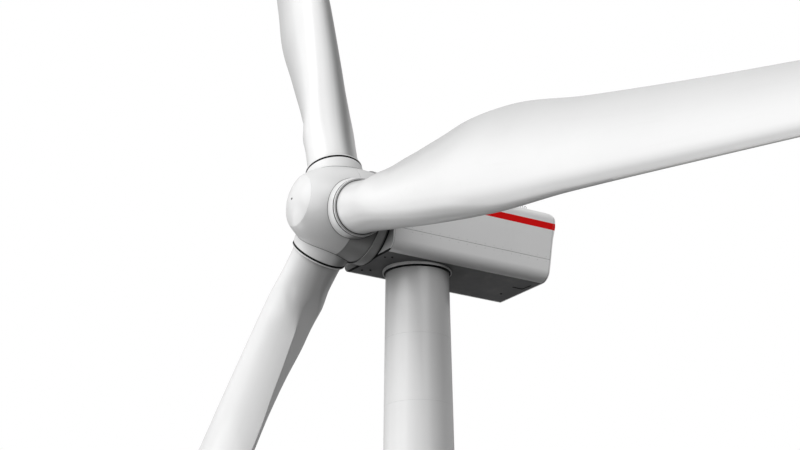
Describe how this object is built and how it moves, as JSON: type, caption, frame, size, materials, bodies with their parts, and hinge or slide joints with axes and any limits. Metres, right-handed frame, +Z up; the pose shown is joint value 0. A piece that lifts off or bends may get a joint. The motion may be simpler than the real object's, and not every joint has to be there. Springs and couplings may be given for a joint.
{
  "type": "wind turbine nacelle with rotor and top tower section, 1:10 scale model",
  "caption": "Box-shaped wind turbine nacelle on a tapered tower section, with a domed hub cover and long twisted blades that spin, pitch and yaw.",
  "frame": {"origin": "centre of the tower section's lower flange face", "axes": "+Z up along the tower, -Y towards the rotor's nose, +X to the turbine's left seen from the rear"},
  "size_m": [8.6039, 1.5285, 8.7476],
  "materials": {
    "tower": "satin",
    "tower_steel": "satin",
    "yaw_ring": "satin",
    "housing": "satin",
    "underside": "satin",
    "roof_fittings": "satin",
    "cover": "satin",
    "collars": "satin",
    "seals": "matte",
    "shaft": "satin",
    "blades": "satin"
  },
  "bodies": {
    "tower": {"tower_can_1": "tower", "tower_can_2": "tower", "tower_can_3": "tower", "tower_can_4": "tower", "tower_can_5": "tower", "tower_can_6": "tower", "lower_flange": "tower", "flange_deck": "tower_steel", "top_flange": "tower_steel", "yaw_bearing": "seals"},
    "nacelle": {"upper_housing": "housing", "lower_housing": "housing", "rear_wall": "housing", "front_wall": "housing", "underside_plate": "underside", "yaw_collar": "yaw_ring", "lifting_strip_1": "roof_fittings", "lifting_strip_2": "roof_fittings", "lifting_loop_1": "roof_fittings", "lifting_loop_2": "roof_fittings", "lifting_loop_3": "roof_fittings", "lifting_loop_4": "roof_fittings"},
    "rotor": {"cover_dome": "cover", "cover_body": "cover", "cover_rear_drum": "cover", "main_shaft": "shaft", "blade_collar_1": "collars", "blade_collar_2": "collars", "blade_collar_3": "collars", "pitch_bearing_1": "seals", "pitch_bearing_2": "seals", "pitch_bearing_3": "seals"},
    "blade_1_body": {"blade_1": "blades", "drip_ring_1": "collars"},
    "blade_2_body": {"blade_2": "blades", "drip_ring_2": "collars"},
    "blade_3_body": {"blade_3": "blades", "drip_ring_3": "collars"}
  },
  "joints": [
    {"name": "yaw", "type": "hinge", "parent": "tower", "child": "nacelle", "pos_m": [0, 0, 1.74], "axis": [0, 0, 1], "range_deg": [-900, 900]},
    {"name": "rotor_spin", "type": "hinge", "parent": "nacelle", "child": "rotor", "pos_m": [0, -0.3795, 1.96245], "axis": [0, 0.9972, -0.0751], "continuous": true},
    {"name": "pitch_1", "type": "hinge", "parent": "rotor", "child": "blade_1_body", "pos_m": [0, -0.3795, 1.96245], "axis": [0.2929, -0.0177, -0.956], "range_deg": [-5, 90]},
    {"name": "pitch_2", "type": "hinge", "parent": "rotor", "child": "blade_2_body", "pos_m": [0, -0.3795, 1.96245], "axis": [0.6802, 0.1088, 0.7249], "range_deg": [-5, 90]},
    {"name": "pitch_3", "type": "hinge", "parent": "rotor", "child": "blade_3_body", "pos_m": [0, -0.3795, 1.96245], "axis": [-0.9732, 0.0707, 0.2189], "range_deg": [-5, 90]}
  ]
}
